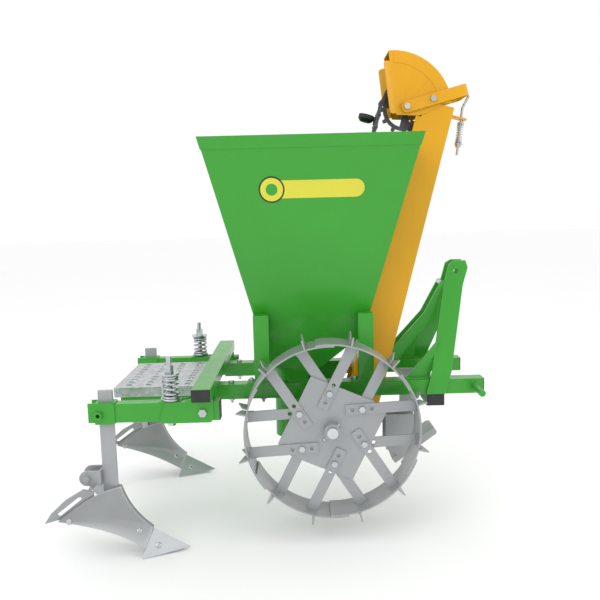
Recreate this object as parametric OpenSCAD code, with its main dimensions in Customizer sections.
// Single-row chain-and-cup root crop planter for a tractor's three-point linkage.
// Millimetres. Worked out about the ground wheel's axle on the centre plane (X forward, Y left,
// Z up), then placed with the ground at Z = 0 and the middle of the length at X = 0.

/* [Main rails] */
// Height and width of the square main rails
rail_s = 50; // [40:1:70]
// Wall of the main rails
rail_t = 4; // [3:0.5:6]
// Distance from the centre plane to each rail's centre
rail_y = 160; // [140:1:190]
// Rail centre above the axle
rail_z = 106; // [95:1:130]
// Rear end of the rails behind the axle
rail_back = 386; // [360:1:420]
// Front end of the rails ahead of the axle
rail_front = 516; // [480:1:600]
// Thickness of the plastic end caps
cap_t = 3; // [2:0.5:5]

/* [Front hitch] */
// Width of the cross tubes along the machine
tube_w = 60; // [50:1:80]
// Height of the cross tubes
tube_h = 40; // [30:1:50]
// Front cross tube centre ahead of the axle
tube_x = 355; // [340:1:380]
// Lower link pin radius
pin_r = 11; // [9:0.5:14]
// Lower link pin length outside the rail
pin_len = 98; // [80:1:120]
// Lower link pin centre behind the rail's front end
pin_in = 31; // [28:1:60]
// Width of the mast's flat bars
mast_w = 62; // [50:1:80]
// Thickness of the mast's flat bars
mast_t = 10; // [8:1:14]
// Half of the gap between the mast cheeks
cheek_gap = 26; // [22:1:32]
// Top link hole above the axle
top_hole_z = 479; // [430:1:520]
// Top link hole ahead of the axle
top_hole_x = 459; // [430:1:480]
// Top link hole radius
top_hole_r = 9.75; // [8:0.25:13]

/* [Hopper] */
// Height of the hopper's top edge above the axle
hop_top = 927; // [850:1:1000]
// Height of the bend between the bin and the funnel
hop_bend = 277; // [265:1:300]
// Rear top edge behind the axle
hop_rear = 388; // [340:1:420]
// Half of the top width across the machine
hop_half = 335; // [300:1:360]
// Half of the width at the bend
hop_half_low = 110; // [95:1:118]
// Rear edge at the bend behind the axle
hop_rear_low = 232; // [215:1:260]
// Sheet thickness of hopper, duct and hood
sheet = 2.5; // [2:0.5:4]
// Height of the folded rim band
band_h = 37; // [25:1:50]
// Width of the legs along the machine
leg_w = 51; // [40:1:60]

/* [Cup chain] */
// Chain pitch
pitch = 42; // [38:0.1:45]
// Teeth of the lower sprocket on the axle
teeth_low = 13; // [12:1:14]
// Teeth of the upper sprocket
teeth_up = 12; // [11:1:13]
// Links in the chain loop
links = 64; // [60:4:68]
// Lean of the chain run from the vertical in degrees
chain_lean = 15.2; // [14.5:0.1:16]
// Outer radius of a cup
cup_r = 27; // [24:1:28]
// Depth of a cup
cup_d = 24; // [16:1:30]
// Cup centre outside the chain's centre line
cup_out = 38; // [37:1:40]

/* [Duct and hood] */
// Duct width along the machine
duct_w = 120; // [110:1:130]
// Duct width across the machine
duct_d = 110; // [90:1:130]
// Lean of the duct from the vertical in degrees
duct_lean = 14.5; // [14:0.1:15]
// Duct axis ahead of the axle at axle height
duct_x0 = 115; // [110:1:120]
// Outer radius of the hood's roof
hood_r = 204; // [198:1:212]
// Thickness of the tension lever's strap
lever_t = 5; // [4:0.5:8]
// Height of the tension lever's strap
lever_h = 38; // [30:1:45]

/* [Ground wheel] */
// Outer radius of the wheel rim
rim_r = 287; // [265:1:300]
// Width of the wheel rim
rim_w = 112; // [95:1:116]
// Thickness of the rim band, spokes and lugs
wheel_t = 5; // [4:0.5:6]
// Width of the flat bar spokes
bar_w = 35; // [28:1:42]
// Height of the lugs beyond the rim
lug_out = 27; // [18:1:36]
// Radius of the wheel shaft
shaft_r = 17.5; // [15:0.5:18]
// Outer radius of the wheel's hub tube
hub_r = 26; // [23:0.5:30]

/* [Ridging tools] */
// Distance from the centre plane to each ridging body
row_y = 326; // [315:1:350]
// Height of the ridger arms
arm_h = 60; // [50:1:70]
// Width of the ridger arms
arm_w = 40; // [34:1:46]
// Width of the tool shanks along the machine
shank_w = 45; // [38:1:50]
// Thickness of the tool shanks
shank_t = 14; // [10:1:18]
// Spread of each mouldboard from the body's centre
wing_y = 138; // [110:1:150]
// Depth of the ridging bodies' share below the axle
share_z = 376; // [340:1:400]
// Radius of the arm springs' coil centre line
spring_r = 24; // [20:1:27]
// Wire radius of the arm springs
spring_wire = 4; // [3:0.5:5]

/* [Hidden] */
$fn = 48;
gap = 0.3;                                  // clearance between faces of different bodies
run = 0.05;                                 // radial running clearance of pins
rail_top = rail_z + rail_s/2;
rail_bot = rail_z - rail_s/2;
rail_out = rail_y + rail_s/2;
mast_lean = 14.9;
// telescoping bars, rear beam and step
bar_s = rail_s - 2*rail_t - 2*gap;
bar_back = 703;
beam_x = -402;
beam_z = rail_z + bar_s/2 + 5;              // underside of the rear beam
beam_half = row_y + arm_w/2 + 46;
// arms
cheek_t = 6;
pivot_x = -404;
pivot_z = beam_z - 44;
arm_z0 = beam_z - 71;
pivot_r = 8;
rod_x = -507;
shank_x = -710;
sock_w = shank_w + 2*gap;
// centres of the chain wheels
r_low = pitch/(2*sin(180/teeth_low));
r_up = pitch/(2*sin(180/teeth_up));
loop = links*pitch;
chain_d = (loop - PI*(r_low + r_up))/2 - pow(r_low - r_up, 2)/(2*1083);
up_x = chain_d*sin(chain_lean);
up_z = chain_d*cos(chain_lean);
alpha = asin((r_low - r_up)/chain_d);
loop_len = 2*chain_d*cos(alpha) + PI*(r_low + r_up) + 2*alpha*PI/180*(r_low - r_up);
step_len = loop_len/links;
roller_r = 8;
// lever
lever_a = 14.7;
piv_x = 371; piv_z = up_z + (piv_x - up_x)*tan(lever_a);
lever_y = duct_d/2 + 2*sheet + 3*gap + 1;
lever_front = 488;
lever_fz = piv_z + (lever_front - piv_x)*tan(lever_a);
hook_lean = 6.5;
hook_x = 496; hook_z = lever_fz - 5;
tab_w = 1063;                                // tab height in the duct's own axes
// wheel
wheel_y = -(rail_out + 20 + rim_w/2);        // middle of the rim
rim_near = wheel_y - rim_w/2;
plate_y = rim_near + 43;                     // middle of the hub plate
hub_out = rim_near - 4;
seg_rot = 3;
bar_off = 58.5;
// ridging body
tip_x = -465; tip_z = 13 - share_z;
ridge0 = [-581, -295]; ridge1 = [-677, -154];
wing_x = -832; wing_z = -204;
ext_x = wing_x - 30;                         // rear tip of the wing extensions
// placing
gx = -(rail_front + cap_t + ext_x)/2;
gz = share_z;

// ---------- helpers ----------
module place() { translate([gx, 0, gz]) children(); }
module plate_xz(pts, y0, t) { translate([0, y0 + t, 0]) rotate([90, 0, 0]) linear_extrude(t) polygon(pts); }
module plate_yz(pts, x0, t) { translate([x0, 0, 0]) rotate([90, 0, 90]) linear_extrude(t) polygon(pts); }
module box(x0, x1, y0, y1, z0, z1) { translate([x0, y0, z0]) cube([x1 - x0, y1 - y0, z1 - z0]); }
module rod_y(x, z, r, y0, y1) { translate([x, y0, z]) rotate([-90, 0, 0]) cylinder(r = r, h = y1 - y0); }
module rod_z(x, y, r, z0, z1) { translate([x, y, z0]) cylinder(r = r, h = z1 - z0); }
module hex_y(x, z, af, y0, y1) {
  translate([x, y0, z]) rotate([-90, 0, 0]) cylinder(r = af/sqrt(3), h = y1 - y0, $fn = 6);
}
module hex_z(x, y, af, z0, z1) { translate([x, y, z0]) cylinder(r = af/sqrt(3), h = z1 - z0, $fn = 6); }
module sides() { children(); mirror([0, 1, 0]) children(); }
// frustum between two level rectangles [x0, x1, half width]
module frustum(z0, a, z1, b) {
  polyhedron([[a[0], -a[2], z0], [a[1], -a[2], z0], [a[1], a[2], z0], [a[0], a[2], z0],
    [b[0], -b[2], z1], [b[1], -b[2], z1], [b[1], b[2], z1], [b[0], b[2], z1]],
    [[0, 1, 2, 3], [4, 7, 6, 5], [0, 4, 5, 1], [1, 5, 6, 2], [2, 6, 7, 3], [3, 7, 4, 0]]);
}
// closed coil about Z from z0 to z1 as one swept tube
module coil(r, w, z0, z1, turns, last) {
  m = 8; n = turns*16;
  function cr(i) = r + (i < 16 ? last*(1 - i/16) : 0);
  pts = [for (i = [0:n]) let (a = 360*i/16, z = z0 + w + (z1 - z0 - 2*w)*i/n) for (j = [0:m - 1])
    let (b = 360*j/m) [(cr(i) + w*cos(b))*cos(a), (cr(i) + w*cos(b))*sin(a), z + w*sin(b)]];
  faces = [for (i = [0:n - 1]) for (j = [0:m - 1]) let (k = (j + 1)%m)
    [i*m + j, i*m + k, (i + 1)*m + k, (i + 1)*m + j]];
  polyhedron(pts, concat([[for (j = [m - 1:-1:0]) j]], [for (f = faces) [f[3], f[2], f[1], f[0]]],
    [[for (j = [0:m - 1]) n*m + j]]), convexity = 10);
}

// ---------- main frame ----------
module rail(s) {
  color("limegreen") difference() {
    box(-rail_back, rail_front, s*rail_y - rail_s/2, s*rail_y + rail_s/2, rail_bot, rail_top);
    box(-rail_back - 1, rail_front + 1, s*rail_y - rail_s/2 + rail_t, s*rail_y + rail_s/2 - rail_t,
      rail_bot + rail_t, rail_top - rail_t);
    for (x = bolt_xs) rod_z(x, s*rail_y, 5 + run, rail_bot - 1, rail_top + 1);
  }
}
module rail_right() rail(-1);
module rail_left() rail(1);
module end_caps() {
  color("#222222") {
    sides() {
      box(rail_front, rail_front + cap_t, rail_y - rail_s/2 + 0.5, rail_out - 0.5,
        rail_bot + 0.5, rail_top - 0.5);
      box(tube_x - tube_w/2 + 0.5, tube_x + tube_w/2 - 0.5, rail_out, rail_out + cap_t,
        rail_bot - tube_h + 0.5, rail_bot - 0.5);
      box(beam_x - tube_w/2 + 0.5, beam_x + tube_w/2 - 0.5, beam_half, beam_half + cap_t,
        beam_z + 0.5, beam_z + tube_h - 0.5);
    }
  }
}
module tube_y(x, z0, half, t) {
  difference() {
    box(x - tube_w/2, x + tube_w/2, -half, half, z0, z0 + tube_h);
    box(x - tube_w/2 + t, x + tube_w/2 - t, -half - 1, half + 1, z0 + t, z0 + tube_h - t);
  }
}
module front_tube() color("limegreen") tube_y(tube_x, rail_bot - tube_h, rail_out, 4);
module link_pins() color("limegreen") sides() {
  difference() {
    union() {
      rod_y(rail_front - pin_in, rail_z, pin_r, rail_out, rail_out + pin_len);
      rod_y(rail_front - pin_in, rail_z, pin_r + 3, rail_out, rail_out + 5);
    }
    rod_z(rail_front - pin_in, rail_out + pin_len - 14, 4, rail_z - 30, rail_z + 30);
  }
}
// one side of the A-frame: a bent strip in the YZ plane cut to the leaning bar's outline
module mast_bar() {
  b = cheek_gap; t = mast_t; zb = rail_bot + 2; z1 = rail_top + 26; z2 = top_hole_z - 50;
  zt = top_hole_z + 38; tl = tan(mast_lean);
  function cx(z) = top_hole_x - (top_hole_z - z)*tl;
  hw = mast_w/2/cos(mast_lean);
  intersection() {
    plate_yz([[b, zt], [b, z2], [rail_out + gap, z1], [rail_out, rail_top], [rail_out, zb], [rail_out + t, zb],
      [rail_out + t, z1 + 3], [b + t, z2 + 3], [b + t, zt]], 250, 300);
    difference() {
      plate_xz([[cx(zb) - hw, zb], [cx(zb) + hw, zb], [cx(zt - 26) + hw + 5, zt - 26], [cx(zt) + hw - 10, zt],
        [cx(zt) - hw + 16, zt], [cx(zt - 12) - hw, zt - 12]], 0, 300);
      rod_y(top_hole_x, top_hole_z, top_hole_r, -1, 301);
    }
  }
}
module mast_left() color("limegreen") mast_bar();
module mast_right() color("limegreen") mirror([0, 1, 0]) mast_bar();
module mast_braces() {
  // flat stays from the mast's rear edge: the inner pair to the duct, the outer pair to the rails
  tl = tan(mast_lean);
  xr = top_hole_x - mast_w/2/cos(mast_lean) - gap;
  function back(z) = xr - (top_hole_z - z)*tl;
  za = 330; zb2 = 286; xd = duct_x0 + duct_w/2/cos(duct_lean) + 190*tan(duct_lean) + 8;
  color("limegreen") sides() {
    // the inner stay leaves the cheek where it is still upright
    plate_xz([[back(za + 118), za + 118], [back(za), za], [xd + 12, 160], [xd, 160], [xd, 212],
      [back(za) - 42, za + 4], [back(za + 118) - 12, za + 118]], cheek_gap + 1, 8);
    plate_xz([[back(262), 262], [back(198), 198], [340, rail_top], [258, rail_top]], rail_y - 4, 8);
    box(258, 340, rail_y - 18, rail_y + 18, rail_top, rail_top + 5);
  }
  color("limegreen") difference() {
    rotate([0, 0, 0]) plate_xz([[xd - 8 + (158 - 190)*tan(duct_lean), 158], [xd + (158 - 190)*tan(duct_lean), 158],
      [xd + (214 - 190)*tan(duct_lean), 214], [xd - 8 + (214 - 190)*tan(duct_lean), 214]], -48, 96);
  }
}
module mast_spacer() color("silver") {
  x = top_hole_x - 49; z = top_hole_z - 41;
  rod_y(x, z, 9, -cheek_gap, cheek_gap);
}

// ---------- axle carriers ----------
module axle_hangers() color("limegreen") sides() difference() {
  plate_xz([[-58, rail_bot], [58, rail_bot], [40, -34], [-40, -34]], rail_y - 5, 10);
  rod_y(0, 0, 24, 0, 300);
  for (x = [-36, 36]) rod_y(x, 24, 5.5, 0, 300);
}
module axle_bearings() color("dimgray") sides() difference() {
  union() {
    rod_y(0, 0, 23.6, rail_y - 14, rail_y + 5);
    plate_xz([[-46, 32], [46, 32], [46, 14], [24, -26], [-24, -26], [-46, 14]], rail_y - 14, 9);
    for (x = [-36, 36]) hex_y(x, 24, 17, rail_y - 22, rail_y - 14);
    for (x = [-36, 36]) rod_y(x, 24, 5.2, rail_y - 14, rail_y + 12);
    for (x = [-36, 36]) hex_y(x, 24, 17, rail_y + 5, rail_y + 12);
  }
  rod_y(0, 0, shaft_r + run, 0, 400);
}

// ---------- hopper ----------
function duct_rear(z) = duct_x0 - duct_w/2/cos(duct_lean) + z*tan(duct_lean);
function grow(r, e) = [r[0] - e, r[1] + e, r[2] + e];
module hopper() {
  fx = sheet/cos(duct_lean) + gap;             // the band lies against the duct
  th = [-hop_rear, duct_rear(hop_top) - fx, hop_half];
  tl = [-hop_rear_low, duct_rear(hop_bend) - fx, hop_half_low];
  tb = [trough_x - trough_r, -22, trough_r];
  w = sheet;
  zb = hop_top - band_h; k = (zb - hop_bend)/(hop_top - hop_bend);
  tm = [for (i = [0:2]) tl[i] + (th[i] - tl[i])*k];
  color("limegreen") difference() {
    union() {
      frustum(hop_bend, tl, hop_top, th);
      frustum(trough_top, tb, hop_bend, tl);
      frustum(zb, grow(tm, w), hop_top, grow(th, w));
    }
    frustum(hop_bend, grow(tl, -w), hop_top + 0.01, grow(th, -w));
    frustum(trough_top - 0.01, grow(tb, -w), hop_bend + 0.01, grow(tl, -w));
  }
}
trough_x = -131; trough_r = 59; trough_top = 155; trough_low = -102;
leg_xs = [-hop_rear_low + 7, duct_rear(hop_bend) - 1];
bolt_xs = [-332, leg_xs[0]];
leg_top = hop_bend + 84;
leg_in = hop_half_low + (leg_top - hop_bend)*(hop_half - hop_half_low)/(hop_top - hop_bend) + gap;
module hopper_legs() color("limegreen") sides() for (x = leg_xs) {
  difference() {
    box(x - leg_w/2, x + leg_w/2, leg_in, rail_out, rail_top + 6, leg_top);
    box(x - leg_w/2 + 4, x + leg_w/2 - 4, leg_in - 1, rail_out - 4, rail_top + 5, leg_top - 4);
  }
  difference() {
    box(x - leg_w/2 - 26, x + leg_w/2 + 26, rail_y - 20, rail_out, rail_top, rail_top + 6);
    for (e = [-1:1]) rod_z(x + e*(leg_w/2 + 13), rail_y, 5.5, rail_top - 1, rail_top + 7);
  }
}
module leg_bolts() sides() for (x = leg_xs) for (e = [-1, 1]) {
  hex_z(x + e*(leg_w/2 + 13), rail_y, 17, rail_top + 6, rail_top + 13);
  rod_z(x + e*(leg_w/2 + 13), rail_y, 5, rail_top + 6, rail_top + 17);
}
// half pipe open to the front, hanging under the hopper round the rising chain
module cup_trough() color("limegreen") difference() {
  union() {
    rod_z(trough_x, 0, trough_r, trough_low, trough_top);
    box(trough_x, -67, -trough_r, trough_r, trough_low + 40, trough_top);
  }
  rod_z(trough_x, 0, trough_r - 3, trough_low - 1, trough_top + 1);
  box(trough_x, 0, -trough_r + 3, trough_r - 3, trough_low - 1, trough_top + 1);
}

// ---------- duct and hood ----------
module lean() { translate([duct_x0, 0, 0]) rotate([0, duct_lean, 0]) children(); }
module duct() color("orange") {
  w = duct_w/2; d = duct_d/2; t = sheet;
  lean() difference() {
    union() {
      difference() {
        box(-w, w, -d, d, 20, 1084);
        box(-w + t, w - t, -d + t, d - t, 19, 1091);
        box(-w - 1, -w + t + 1, -d + t, d - t, 0, 128);
        box(-w - 1, -w + t + 1, -d + t, d - t, 948, 1200);
        // the rear of the open head is cut back round the upper chain wheel
        box(-w - 1, -w + 18, -d - 1, d + 1, 1030, 1200);
      }
      box(w, w + 58, -20, 20, tab_w - 3, tab_w + 3);
    }
    rotate([0, 0, 0]) translate([w + 43, 0, tab_w - 10]) cylinder(r = 8, h = 20);
  }
}
module duct_bolts() color("silver") {
  // lever pivot, a through bolt with a spacer tube clear of the cups
  sides() {
    hex_y(piv_x, piv_z, 19, lever_y + lever_t + gap, lever_y + lever_t + gap + 8);
    rod_y(piv_x, piv_z, 6, duct_d/2 - sheet - 9, lever_y + lever_t + gap + 1);
    hex_y(piv_x, piv_z, 19, duct_d/2 - sheet - 9, duct_d/2 - sheet);
  }
}
hood_x = 234; hood_z = up_z - 20;
edge_x = 248; edge_z = up_z - 20; edge_lean = -7;    // the side plates' rear edge leans back
module edge_axes(y) translate([edge_x, y, edge_z]) rotate([0, edge_lean, 0]) children();
// ring sector in the XZ plane between two angles from +X, from y0 outward
module ring_plate(r1, r0, y0, t, a0, a1) {
  translate([hood_x, y0 + t, hood_z]) rotate([90, 0, 0]) linear_extrude(t) intersection() {
    difference() {
      circle(r = r1, $fn = 90);
      if (r0 > 0) circle(r = r0, $fn = 90);
    }
    polygon([[0, 0], 400*[cos(a0), sin(a0)], 500*[cos((a0 + a1)/2), sin((a0 + a1)/2)],
      400*[cos(a1), sin(a1)]]);
  }
}
module hood() color("gold") {
  y = duct_d/2 + gap; t = sheet; a0 = 19; a1 = 93;
  // curved roof
  ring_plate(hood_r, hood_r - t, -y - t, 2*(y + t), a0, a1);
  sides() {
    // side plate with a flared rear edge; its lower front lies on the duct
    difference() {
      union() {
        ring_plate(hood_r - t/2, 0, y, t, 8, 130);
        plate_xz([[226, hood_z + 4], [hood_x + 150, hood_z + 28], [piv_x + 30, piv_z - 22],
          [piv_x - 20, piv_z - 44], [up_x + 40, up_z - 30], [226, up_z - 24]], y, t);
      }
      edge_axes(0) box(-300, 0, 0, 100, -300, 400);
      rod_y(up_x, up_z, 17, 0, 100);
      rod_y(piv_x, piv_z, 6 + run, 0, 100);
      box(hood_x + hood_r - 40, 600, 0, 100, 900, hood_z + 28);
    }
    // flared flange with round corners
    edge_axes(y + t/2) rotate([0, 0, 150]) rotate([90, 0, 0]) translate([0, 0, -t/2]) linear_extrude(t) {
      square([16, 172]);
      translate([8, 10]) square([18, 152]);
      for (z = [10, 162]) translate([16, z]) circle(r = 10);
    }
    ring_plate(hood_r, hood_r - 39, y + t, 1.5, a0 + 2, 88);
  }
}

// ---------- cup chain ----------
// point and heading at distance s along the loop, from the foot of the lower wrap up the rear run
function lp(a, b) = [a*sin(chain_lean) - b*cos(chain_lean), a*cos(chain_lean) + b*sin(chain_lean)];
arc1 = (90 + alpha)*PI/180*r_low;
arc2 = (90 - alpha)*PI/180*r_up;
run_len = chain_d*cos(alpha);
function half(s) = s < arc1 ? let (q = s/r_low*180/PI) [-r_low*cos(q), r_low*sin(q)]
  : s < arc1 + run_len ? let (k = s - arc1)
    [r_low*sin(alpha) + k*cos(alpha), r_low*cos(alpha) - k*sin(alpha)]
  : let (q = 90 - alpha - (s - arc1 - run_len)/r_up*180/PI) [chain_d + r_up*cos(q), r_up*sin(q)];
function path(s) = let (u = s < loop_len/2 ? s : loop_len - s, p = half(u))
  lp(p[0], s < loop_len/2 ? p[1] : -p[1]);
module at_link(k) {
  p = path(k*step_len); q = path((k + 1 == links ? 0 : k + 1)*step_len);
  a = atan2(q[1] - p[1], q[0] - p[0]);
  translate([(p[0] + q[0])/2, 0, (p[1] + q[1])/2]) rotate([0, -a, 0]) children();
}
module link_side(y0, t, hole) plate_link(y0, t) difference() {
  union() {
    for (e = [-1, 1]) translate([e*pitch/2, 0]) circle(r = 9);
    translate([-pitch/2, -7]) square([pitch, 14]);
  }
  if (hole) for (e = [-1, 1]) translate([e*pitch/2, 0]) circle(r = 4.7);
}
module plate_link(y0, t) translate([0, y0 + t, 0]) rotate([90, 0, 0]) linear_extrude(t) children();
module inner_link() {
  for (y = [-11, 8]) link_side(y, 3, true);
  for (e = [-1, 1]) difference() {
    rod_y(e*pitch/2, 0, roller_r, -8, 8);
    rod_y(e*pitch/2, 0, 4.7, -9, 9);
  }
}
module outer_link() {
  for (y = [-14.4, 11.4]) link_side(y, 3, false);
  for (e = [-1, 1]) rod_y(e*pitch/2, 0, 4, -15.5, 15.5);
}
module cup_chain() color("#3a3c3e") for (k = [0:links - 1]) at_link(k) {
  if (k%2 == 0) inner_link();
  else outer_link();
}
module cup() {
  translate([-cup_d/2, 0, cup_out]) rotate([0, 90, 0]) rotate_extrude() polygon([[0, 0], [cup_r - 9, 0],
    [cup_r, 10], [cup_r, cup_d], [cup_r - 3, cup_d], [cup_r - 3, 11], [cup_r - 10.4, 3], [0, 3]]);
}
module chain_cups() color("#26282a") for (k = [3:4:links - 1]) at_link(k) {
  cup();
  box(-12, 12, -14.4, 14.4, 7.3, 10.3);
  difference() {
    box(-2, 2, -10, 10, 10, cup_out);
    translate([-cup_d/2 - 1, 0, cup_out]) rotate([0, 90, 0]) cylinder(r = cup_r - 1, h = cup_d + 2);
  }
}
module sprocket(teeth, r, bore, phase) {
  root = r - roller_r - 0.4; w = 360/teeth;
  rotate([0, phase, 0]) translate([0, 3, 0]) rotate([90, 0, 0]) linear_extrude(6) difference() {
    union() {
      circle(r = root, $fn = 72);
      for (i = [0:teeth - 1]) rotate((i + 0.5)*w)
        polygon([[root - 5, -8], [r - 1, -6.5], [r + 3.3, -4.5], [r + 3.3, 4.5], [r - 1, 6.5], [root - 5, 8]]);
    }
    circle(r = bore);
    for (i = [0:2]) rotate(120*i + 20) difference() {
      intersection() {
        circle(r = root - 13, $fn = 60);
        polygon([[0, 0], [200, -168], [200, 168]]);
      }
      circle(r = 25);
    }
  }
}
module low_sprocket() color("dimgray") {
  difference() {
    union() {
      sprocket(teeth_low, r_low, 20, chain_lean - 270);
      rod_y(0, 0, 22, -22, 22);
    }
    rod_y(0, 0, shaft_r + run, -50, 50);
  }
}
module up_sprocket() color("gray") translate([up_x, 0, up_z]) {
  difference() {
    union() {
      sprocket(teeth_up, r_up, 20, -(90 - chain_lean));
      rod_y(0, 0, 21, -36, 36);
    }
    rod_y(0, 0, 8 + run, -50, 50);
  }
}
module up_shaft() color("silver") translate([up_x, 0, up_z]) {
  rod_y(0, 0, 8, -lever_y + gap, lever_y - gap);
  rod_y(0, 0, 5 - run, -lever_y - lever_t - 1, lever_y + lever_t + 1);
  sides() {
    hex_y(0, 0, 19, lever_y + lever_t, lever_y + lever_t + 8);
    rod_y(0, 0, 14, 36.3, 39);
  }
}

// ---------- tension lever ----------
module strap_outline(b, l, y, c) {
  translate([-b, -y]) square([b + l - c, 2*y]);
  translate([0, -y + c]) square([l, 2*(y - c)]);
  for (e = [-1, 1]) translate([l - c, e*(y - c)]) circle(r = c);
}
module tension_lever() color("orange") {
  l = (lever_front - piv_x)/cos(lever_a); b = (piv_x - up_x)/cos(lever_a);
  h = lever_h; c = 14; t = lever_t; y = lever_y;
  translate([piv_x, 0, piv_z]) rotate([0, -lever_a, 0]) difference() {
    intersection() {
      translate([0, 0, -h/2 - 1]) linear_extrude(h) difference() {
        strap_outline(b + h/2, l, y + t, c);
        strap_outline(b + h/2 + 1, l - t, y, c - t);
      }
      // rear ends rounded about the shaft
      translate([0, 0, -1]) rotate([90, 0, 0]) linear_extrude(300, center = true) {
        translate([-b, 0]) circle(r = h/2);
        translate([-b, -h/2]) square([b + l + 1, h]);
      }
    }
    sides() rod_y(0, 0, 6 + run, 0, 100);
    sides() rod_y(-b, 0, 5, 0, 100);
    translate([l - 30, 0, -4]) rotate([0, 90, 0]) cylinder(r = 7, h = 60);
  }
}
module tube_run(pts, r) {
  for (i = [0:len(pts) - 2]) let (p = pts[i], q = pts[i + 1], d = q - p, l = norm(d))
    translate(p) rotate([0, atan2(d[0], d[2]), 0]) cylinder(r = r, h = l);
  for (i = [1:len(pts) - 2]) translate(pts[i]) sphere(r = r + 0.3);
}
// the hook bolt's own axes: Z up along the rod, zero where the rod passes the tab
tab_pos = [duct_x0 + (duct_w/2 + 43)*cos(duct_lean) + tab_w*sin(duct_lean),
  -(duct_w/2 + 43)*sin(duct_lean) + tab_w*cos(duct_lean)];
module hook_axes() translate([tab_pos[0], 0, tab_pos[1]]) rotate([0, hook_lean, 0]) children();
hook_top = (lever_fz - 4 - tab_pos[1]);
module hook_bolt() color("silver") hook_axes() {
  e = lever_front - tab_pos[0] - hook_top*tan(hook_lean);
  tube_run([[0, 0, -123], [0, 0, hook_top - 50], [5, 0, hook_top - 37], [e + 14, 0, hook_top - 22],
    [e + 19, 0, hook_top - 10], [e + 14, 0, hook_top - 2], [e + 4, 0, hook_top + 1], [e - 13, 0, hook_top]], 4.5);
  rod_z(0, 0, 15, -87, -84);
  hex_z(0, 0, 17, -96, -87);
}
module tension_spring() color("lightgray") hook_axes() coil(10.5, 1.8, -83.6, -7.5, 9, 0);

// ---------- ground wheel ----------
module wheel_axes() translate([0, plate_y, 0]) rotate([90, 0, 0]) children();
hub_pts = 1.075*[[-60, 163], [125, 83], [164, 43], [60, -163], [-125, -83], [-164, -43]];
hole_mid = bar_off/tan(30);                  // where two crossing bars share a bolt
hole_step = 31;
bar_in = hole_mid - hole_step - 22;
module wheel_hub() color("#8e9294") {
  difference() {
    union() {
      wheel_axes() translate([0, 0, -wheel_t/2]) linear_extrude(wheel_t) polygon(hub_pts);
      rod_y(0, 0, hub_r, hub_out + 6, plate_y + 46);
    }
    rod_y(0, 0, shaft_r + run, -600, 0);
    lynch_hole();
    for (k = [0:5]) rotate([0, -60*k - seg_rot, 0]) rod_y(hole_mid, bar_off, 6.5, plate_y - 9, plate_y + 9);
  }
}
module lug(s) {
  // s = -1 at the near edge, +1 at the far edge; lies in the radial plane
  y = s*rim_w/2;
  r = rim_r - 2 - wheel_t;
  polygon([[r, y + s*4], [rim_r + lug_out, y + s*4], [rim_r + lug_out - 16, y - s*44], [r, y - s*44]]);
}
module wheel_seg(k) color("#9a9ea0") rotate([0, -60*k - seg_rot, 0]) {
  // X is outward along the spoke pair; the rim arc winds from inside to outside its neighbour
  t = wheel_t; e = t + gap;
  translate([0, wheel_y, 0]) {
    translate([0, rim_w/2, e]) rotate([90, 0, 0]) rotate([0, 0, -36])
      rotate_extrude(angle = 72) translate([rim_r - 3 - t, 0]) square([t, rim_w]);
    // paired lugs in radial planes
    for (a = [-16, 14]) rotate([0, -a, 0]) for (s = [-1, 1])
      translate([0, 0, -t/2]) linear_extrude(t) lug(s);
  }
  for (s = [-1, 1]) difference() {
    box(bar_in, sqrt(pow(rim_r - 9, 2) - pow(bar_off + bar_w/2, 2)) + (s > 0 ? 6 : 2),
      plate_y - (s > 0 ? wheel_t*1.5 : -wheel_t/2), plate_y - (s > 0 ? wheel_t/2 : -wheel_t*1.5),
      s*bar_off - bar_w/2, s*bar_off + bar_w/2);
    for (h = [-1:1]) rod_y(hole_mid + h*hole_step, s*bar_off, 6.5, plate_y - 30, plate_y + 30);
  }
}
module wheel_seg_1() wheel_seg(0);
module wheel_seg_2() wheel_seg(1);
module wheel_seg_3() wheel_seg(2);
module wheel_seg_4() wheel_seg(3);
module wheel_seg_5() wheel_seg(4);
module wheel_seg_6() wheel_seg(5);
// one bolt clamps a front bar, the plate and the next segment's rear bar
module wheel_bolts() color("silver") for (k = [0:5]) rotate([0, -60*k - seg_rot, 0]) {
  y0 = plate_y - 1.5*wheel_t; y1 = plate_y + 1.5*wheel_t;
  hex_y(hole_mid, bar_off, 19, y0 - 8, y0);
  rod_y(hole_mid, bar_off, 6, y0, y1 + 14);
  hex_y(hole_mid, bar_off, 19, y1, y1 + 10);
}
module wheel_shaft() color("gray") difference() {
  rod_y(0, 0, shaft_r, hub_out - 6, rail_y + 30);
  lynch_hole();
}
pin_y = hub_out + 16;
module pin_axes() translate([0, pin_y, 0]) rotate([0, -45, 0]) children();
module lynch_hole() pin_axes() translate([-40, 0, 0]) rotate([0, 90, 0]) cylinder(r = 4 + run, h = 80);
module lynch_pin() color("white") pin_axes() {
  translate([-hub_r - 8, 0, 0]) rotate([0, 90, 0]) cylinder(r = 4, h = 2*hub_r + 16);
  translate([-hub_r - 11, 0, 0]) sphere(r = 7);
}

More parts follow.
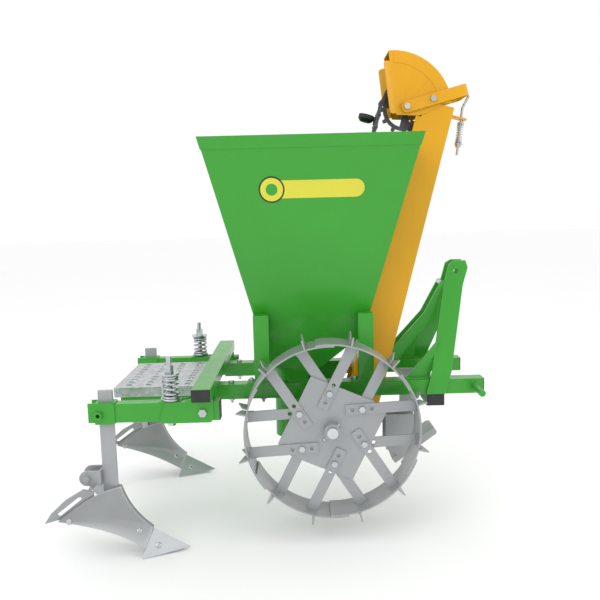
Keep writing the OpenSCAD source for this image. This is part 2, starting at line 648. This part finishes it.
// ---------- rear frame ----------
module telescope_bars() color("limegreen") sides() {
  difference() {
    box(-bar_back, -200, rail_y - bar_s/2, rail_y + bar_s/2, rail_z - bar_s/2, rail_z + bar_s/2);
    box(-bar_back - 1, -199, rail_y - bar_s/2 + 4, rail_y + bar_s/2 - 4,
      rail_z - bar_s/2 + 4, rail_z + bar_s/2 - 4);
    for (x = bolt_xs) rod_z(x, rail_y, 5 + run, 0, 300);
  }
  box(beam_x - tube_w/2, beam_x + tube_w/2 - 16, rail_y - bar_s/2, rail_y + bar_s/2, beam_z - 5, beam_z);
}
module rail_bolts() color("silver") { leg_bolts(); through_bolts(); }
module through_bolts() sides() for (i = [0, 1]) {
  x = bolt_xs[i]; z = rail_top + 6*i;          // the second one also holds the rear leg's foot
  hex_z(x, rail_y, 17, z, z + 8);
  rod_z(x, rail_y, 5, rail_bot - 18, z + 1);
  hex_z(x, rail_y, 17, rail_bot - 9, rail_bot);
}
module rear_beam() color("limegreen") tube_y(beam_x, beam_z, beam_half, 4);
module bracket_set() {
  // two cheeks round the arm with a bridge below that carries the rod and stops the arm
  y0 = row_y - arm_w/2 - gap - cheek_t; y1 = row_y + arm_w/2 + gap;
  for (y = [y0, y1]) difference() {
    plate_xz([[-371, beam_z], [-371, arm_z0 + 4], [-381, arm_z0 - 5], [-535, arm_z0 - 5], [-535, arm_z0 + 22],
      [-518, arm_z0 + arm_h + 2], [-462, arm_z0 + arm_h + 2], [-446, beam_z]], y, cheek_t);
    rod_y(pivot_x, pivot_z, pivot_r + run, 0, 500);
  }
  difference() {
    box(-532, -482, y0 + cheek_t, y1, arm_z0 - 6 - gap, arm_z0 - gap);
    rod_z(rod_x, row_y, 8, 0, 200);
  }
}
module brackets_left() color("limegreen") bracket_set();
module brackets_right() color("limegreen") mirror([0, 1, 0]) bracket_set();
module pivot_bolts() color("silver") sides() {
  y0 = row_y - arm_w/2 - gap - cheek_t; y1 = row_y + arm_w/2 + gap + cheek_t;
  rod_y(pivot_x, pivot_z, pivot_r, y0 - 14, y1 + 1);
  hex_y(pivot_x, pivot_z, 24, y1, y1 + 9);
  hex_y(pivot_x, pivot_z, 24, y0 - 11, y0);
}
spring_low = arm_z0 + arm_h + 3 + gap;
spring_top = arm_z0 + arm_h + 85;
module rod_set() translate([rod_x, row_y, 0]) {
  rod_z(0, 0, 8, arm_z0 - 20, spring_top + 56);
  hex_z(0, 0, 24, arm_z0 - 18, arm_z0 - 6 - gap);
  difference() {
    rod_z(0, 0, 31, spring_top, spring_top + 5);
    rod_z(0, 0, 8, spring_top - 1, spring_top + 6);
  }
  hex_z(0, 0, 24, spring_top + 5, spring_top + 18);
  hex_z(0, 0, 24, spring_top + 18.2, spring_top + 29);
}
module rod_left() color("silver") rod_set();
module rod_right() color("silver") mirror([0, 1, 0]) rod_set();
module spring_set() translate([rod_x, row_y, 0]) coil(spring_r, spring_wire, spring_low, spring_top - gap, 6, 5);
module spring_left() color("lightgray") spring_set();
module spring_right() color("lightgray") mirror([0, 1, 0]) spring_set();
module step_plate() color("#b9bec2") {
  half = rail_y + bar_s/2 + gap + 3; x0 = -724; x1 = -436; z = rail_z + bar_s/2;
  difference() {
    box(x0, x1, -half, half, z - 30, z + 2.5);
    box(x0 + 2.5, x1 - 2.5, -half + 2.5, half - 2.5, z - 31, z);
    sides() box(x1 - 3, x1 + 1, rail_y - bar_s/2 - 1, rail_y + bar_s/2 + 1, z - 31, z);
    for (i = [0:3]) for (j = [-4:4]) translate([x0 + 44 + 66*i, j*38, z - 1]) cylinder(r = 9, h = 5);
  }
}

// ---------- ridger arms and tools ----------
module arm() {
  difference() {
    union() {
      difference() {
        box(shank_x + shank_w/2 + 4, -353, row_y - arm_w/2, row_y + arm_w/2, arm_z0, arm_z0 + arm_h);
        box(shank_x + shank_w/2 + 10, -352, row_y - arm_w/2 + 4, row_y + arm_w/2 - 4,
          arm_z0 + 4, arm_z0 + arm_h - 4);
      }
      // shank socket: a folded strap welded to the arm
      box(shank_x - shank_w/2 - 8, shank_x + shank_w/2 + 8, row_y - arm_w/2 - 4, row_y + arm_w/2 + 4,
        arm_z0 - 4, arm_z0 + arm_h + 4);
      box(shank_x - shank_w/2 - 28, shank_x - shank_w/2 - 7, row_y - arm_w/2 - 4, row_y - arm_w/2,
        arm_z0 + 2, arm_z0 + arm_h + 4);
      box(shank_x - shank_w/2 - 28, shank_x - shank_w/2 - 7, row_y + arm_w/2, row_y + arm_w/2 + 4,
        arm_z0 + 2, arm_z0 + arm_h + 4);
      hex_y(shank_x - 18, arm_z0 + 26, 24, row_y + arm_w/2 + 3, row_y + arm_w/2 + 15);
      // spring seat
      box(rod_x - 34, rod_x + 34, row_y - arm_w/2, row_y + arm_w/2, arm_z0 + arm_h, arm_z0 + arm_h + 3);
    }
    box(shank_x - sock_w/2, shank_x + sock_w/2, row_y - shank_t/2 - gap, row_y + shank_t/2 + gap, -100, 400);
    rod_y(shank_x - 18, arm_z0 + 26, 6.5, row_y + 2, row_y + 60);
    rod_y(pivot_x, pivot_z, pivot_r + run, 0, 500);
    // slotted passage for the spring rod
    for (e = [-9, 8]) rod_z(rod_x + e, row_y, 9.5, 0, 300);
    box(rod_x - 9, rod_x + 8, row_y - 9.5, row_y + 9.5, 0, 300);
  }
}
module arm_left() color("limegreen") arm();
module arm_right() color("limegreen") mirror([0, 1, 0]) arm();
module arm_cap() color("#222222") box(-353, -353 + cap_t, row_y - arm_w/2 + 0.5, row_y + arm_w/2 - 0.5,
  arm_z0 + 0.5, arm_z0 + arm_h - 0.5);
module arm_cap_left() arm_cap();
module arm_cap_right() mirror([0, 1, 0]) arm_cap();
module shank() {
  box(shank_x - shank_w/2, shank_x + shank_w/2, row_y - shank_t/2, row_y + shank_t/2, -196, arm_z0 + arm_h + 40);
  // frog that carries the mouldboards
  plate_xz(concat([[shank_x - shank_w/2, -150], [-690, -150]], [for (v = [1:-0.125:0]) ridge(v) - [1.2, 0]],
    [[-640, -318], [-700, -262], [shank_x - shank_w/2, -216]]), row_y - 5, 10);
}
module shank_left() color("#9a9ea0") shank();
module shank_right() color("#9a9ea0") mirror([0, 1, 0]) shank();

// mouldboard: u runs back from the ridge, v up from the lower edge
function ridge(v) = let (b = [-655, -238]) [(1 - v)*(1 - v)*ridge0[0] + 2*v*(1 - v)*b[0] + v*v*ridge1[0],
  (1 - v)*(1 - v)*ridge0[1] + 2*v*(1 - v)*b[1] + v*v*ridge1[1]];
// the front edge follows the share's rear edge first, then the ridge
share_a = [ridge0[0] - 2, 0.01, ridge0[1] - 4];
share_c = [-612, 56, -share_z + 1];
share_n = cross([tip_x, 0, tip_z] - share_a, share_c - share_a);
function front(v) = v < 0.25
  ? let (q = 0.1 + 0.54*(1 - v/0.25)) share_a + (share_c - share_a)*q + 0.4*share_n/norm(share_n)
  : let (r = ridge((v - 0.25)/0.75)) [r[0], 5.2, r[1]];
function mb(u, v) = let (f = front(v), xe = wing_x + 4*v, ze = wing_z + 6*v)
  [f[0] + (xe - f[0])*u, f[1] + (wing_y - f[1])*(pow(u, 1.25) - 0.18*sin(180*u)*(1 - v)),
   f[2] + (ze - f[2])*u + 13*sin(180*u)*v*v];
module sheet_grid(n, m, t) {
  pts = concat([for (i = [0:n]) for (j = [0:m]) mb(i/n, j/m)],
    [for (i = [0:n]) for (j = [0:m]) mb(i/n, j/m) + [0, t, t*0.4]]);
  o = (n + 1)*(m + 1);
  function id(i, j) = i*(m + 1) + j;
  a = [for (i = [0:n - 1]) for (j = [0:m - 1]) for (q = [0, 1]) q == 0
    ? [id(i, j), id(i + 1, j), id(i + 1, j + 1)] : [id(i, j), id(i + 1, j + 1), id(i, j + 1)]];
  b = [for (f = a) [o + f[2], o + f[1], o + f[0]]];
  rim = concat([for (i = [0:n - 1]) [id(i, 0), id(i + 1, 0)]], [for (j = [0:m - 1]) [id(n, j), id(n, j + 1)]],
    [for (i = [n:-1:1]) [id(i, m), id(i - 1, m)]], [for (j = [m:-1:1]) [id(0, j), id(0, j - 1)]]);
  c = [for (e = rim) each [[e[1], e[0], o + e[0]], [e[1], o + e[0], o + e[1]]]];
  polyhedron(pts, concat(a, b, c), convexity = 6);
}
module ridger() translate([0, row_y, 0]) sides() sheet_grid(12, 8, 4);
module ridger_left() color("#9a9ea0") ridger();
module ridger_right() color("#9a9ea0") mirror([0, 1, 0]) ridger();
module share() translate([0, row_y, 0]) sides() {
  t = 5;
  a = share_a; b = [tip_x, 0.01, tip_z]; c = share_c;
  polyhedron([a, b, c, a - [0, 0, t + 3], b - [8, 0, t], c - [-4, 2, -1 + 2]],
    [[0, 1, 2], [5, 4, 3], [0, 3, 4, 1], [1, 4, 5, 2], [2, 5, 3, 0]]);
}
module share_left() color("#b4babd") share();
module share_right() color("#b4babd") mirror([0, 1, 0]) share();

// slotted extension plate inside each wing, carried by a strut from the shank
module wing() translate([0, row_y, 0]) {
  k = 1; ye = wing_y - 0.5; t = 7; x0 = shank_x - shank_w/2 - gap;
  sides() multmatrix([[1, 0, 0, 0], [-k, 1, 0, ye - t + k*wing_x], [0, 0, 1, 0]]) {
    difference() {
      plate_xz([[ext_x, wing_z + 9], [ext_x + 14, wing_z + 32], [wing_x + 17, wing_z + 59],
        [wing_x + 58, wing_z + 74], [wing_x + 82, wing_z + 56], [wing_x + 82, wing_z + 6],
        [wing_x + 30, wing_z + 3]], 0, t);
      for (q = [0:0.1:1]) rod_y(wing_x + 4 + 44*q, wing_z + 22 + 26*q, 6, -1, t + 1);
    }
  }
  difference() {
    union() {
      // strap round the shank's rear edge with its clamp bolt
      box(x0 - 5, x0, -28, 28, -140, -92);
      sides() box(x0 - 44, x0 - 4, 22, 28, -140, -92);
      translate([x0 - 44, 0, -116]) rotate([90, 0, 0]) cylinder(r = 24, h = 56, center = true);
    }
    translate([x0 - 40, 0, -116]) rotate([90, 0, 0]) cylinder(r = 19, h = 44, center = true);
    box(x0 - 80, x0 - 5, -22, 22, -170, -60);
  }
  // cross strut between the plates
  rod_y(wing_x + 75, wing_z + 66, 6, -wing_y + 79, wing_y - 79);
  rod_y(x0 - 44, -116, 6, -30, 30);
  sides() hex_y(x0 - 44, -116, 20, 28, 38);
}
module wing_left() color("#8e9294") wing();
module wing_right() color("#8e9294") mirror([0, 1, 0]) wing();

// ---------- furrow opener ----------
module furrow_opener() color("#85898b") {
  sides() plate_xz([[205, -30], [308, -30], [308, -133], [246, -181], [205, -158]], 45, 4);
  // runner bar that closes the nose
  difference() {
    plate_xz([[239, -212], [226, -196], [366, -88], [380, -86], [389, -97], [386, -106]], -49, 98);
    plate_xz([[200, -176], [366, -48], [366, -20], [200, -20]], -45, 90);
  }
  box(262, 312, -6, 6, -150, 128);
}
module opener_clamp() color("limegreen") {
  difference() {
    box(250, tube_x - tube_w/2, -26, 26, rail_bot - tube_h, rail_bot);
    box(262 - gap, 312 + gap, -6 - gap, 6 + gap, 0, 200);
    rod_y(281, rail_bot - tube_h/2, 6.5, 5, 60);
  }
}

// ---------- drawing ----------
place() rail_right();
place() rail_left();
place() end_caps();
place() front_tube();
place() link_pins();
place() mast_right();
place() mast_left();
place() mast_braces();
place() mast_spacer();
place() axle_hangers();
place() axle_bearings();
place() hopper();
place() hopper_legs();
place() cup_trough();
place() duct();
place() hood();
place() duct_bolts();
place() telescope_bars();
place() rail_bolts();
place() rear_beam();
place() brackets_right();
place() brackets_left();
place() pivot_bolts();
place() rod_right();
place() rod_left();
place() step_plate();
place() opener_clamp();
place() furrow_opener();
place() wheel_shaft();
place() wheel_hub();
place() wheel_seg_1();
place() wheel_seg_2();
place() wheel_seg_3();
place() wheel_seg_4();
place() wheel_seg_5();
place() wheel_seg_6();
place() wheel_bolts();
place() lynch_pin();
place() low_sprocket();
place() up_sprocket();
place() up_shaft();
place() tension_lever();
place() hook_bolt();
place() tension_spring();
place() cup_chain();
place() chain_cups();
place() arm_right();
place() arm_left();
place() arm_cap_right();
place() arm_cap_left();
place() spring_right();
place() spring_left();
place() shank_right();
place() shank_left();
place() ridger_right();
place() ridger_left();
place() share_right();
place() share_left();
place() wing_right();
place() wing_left();
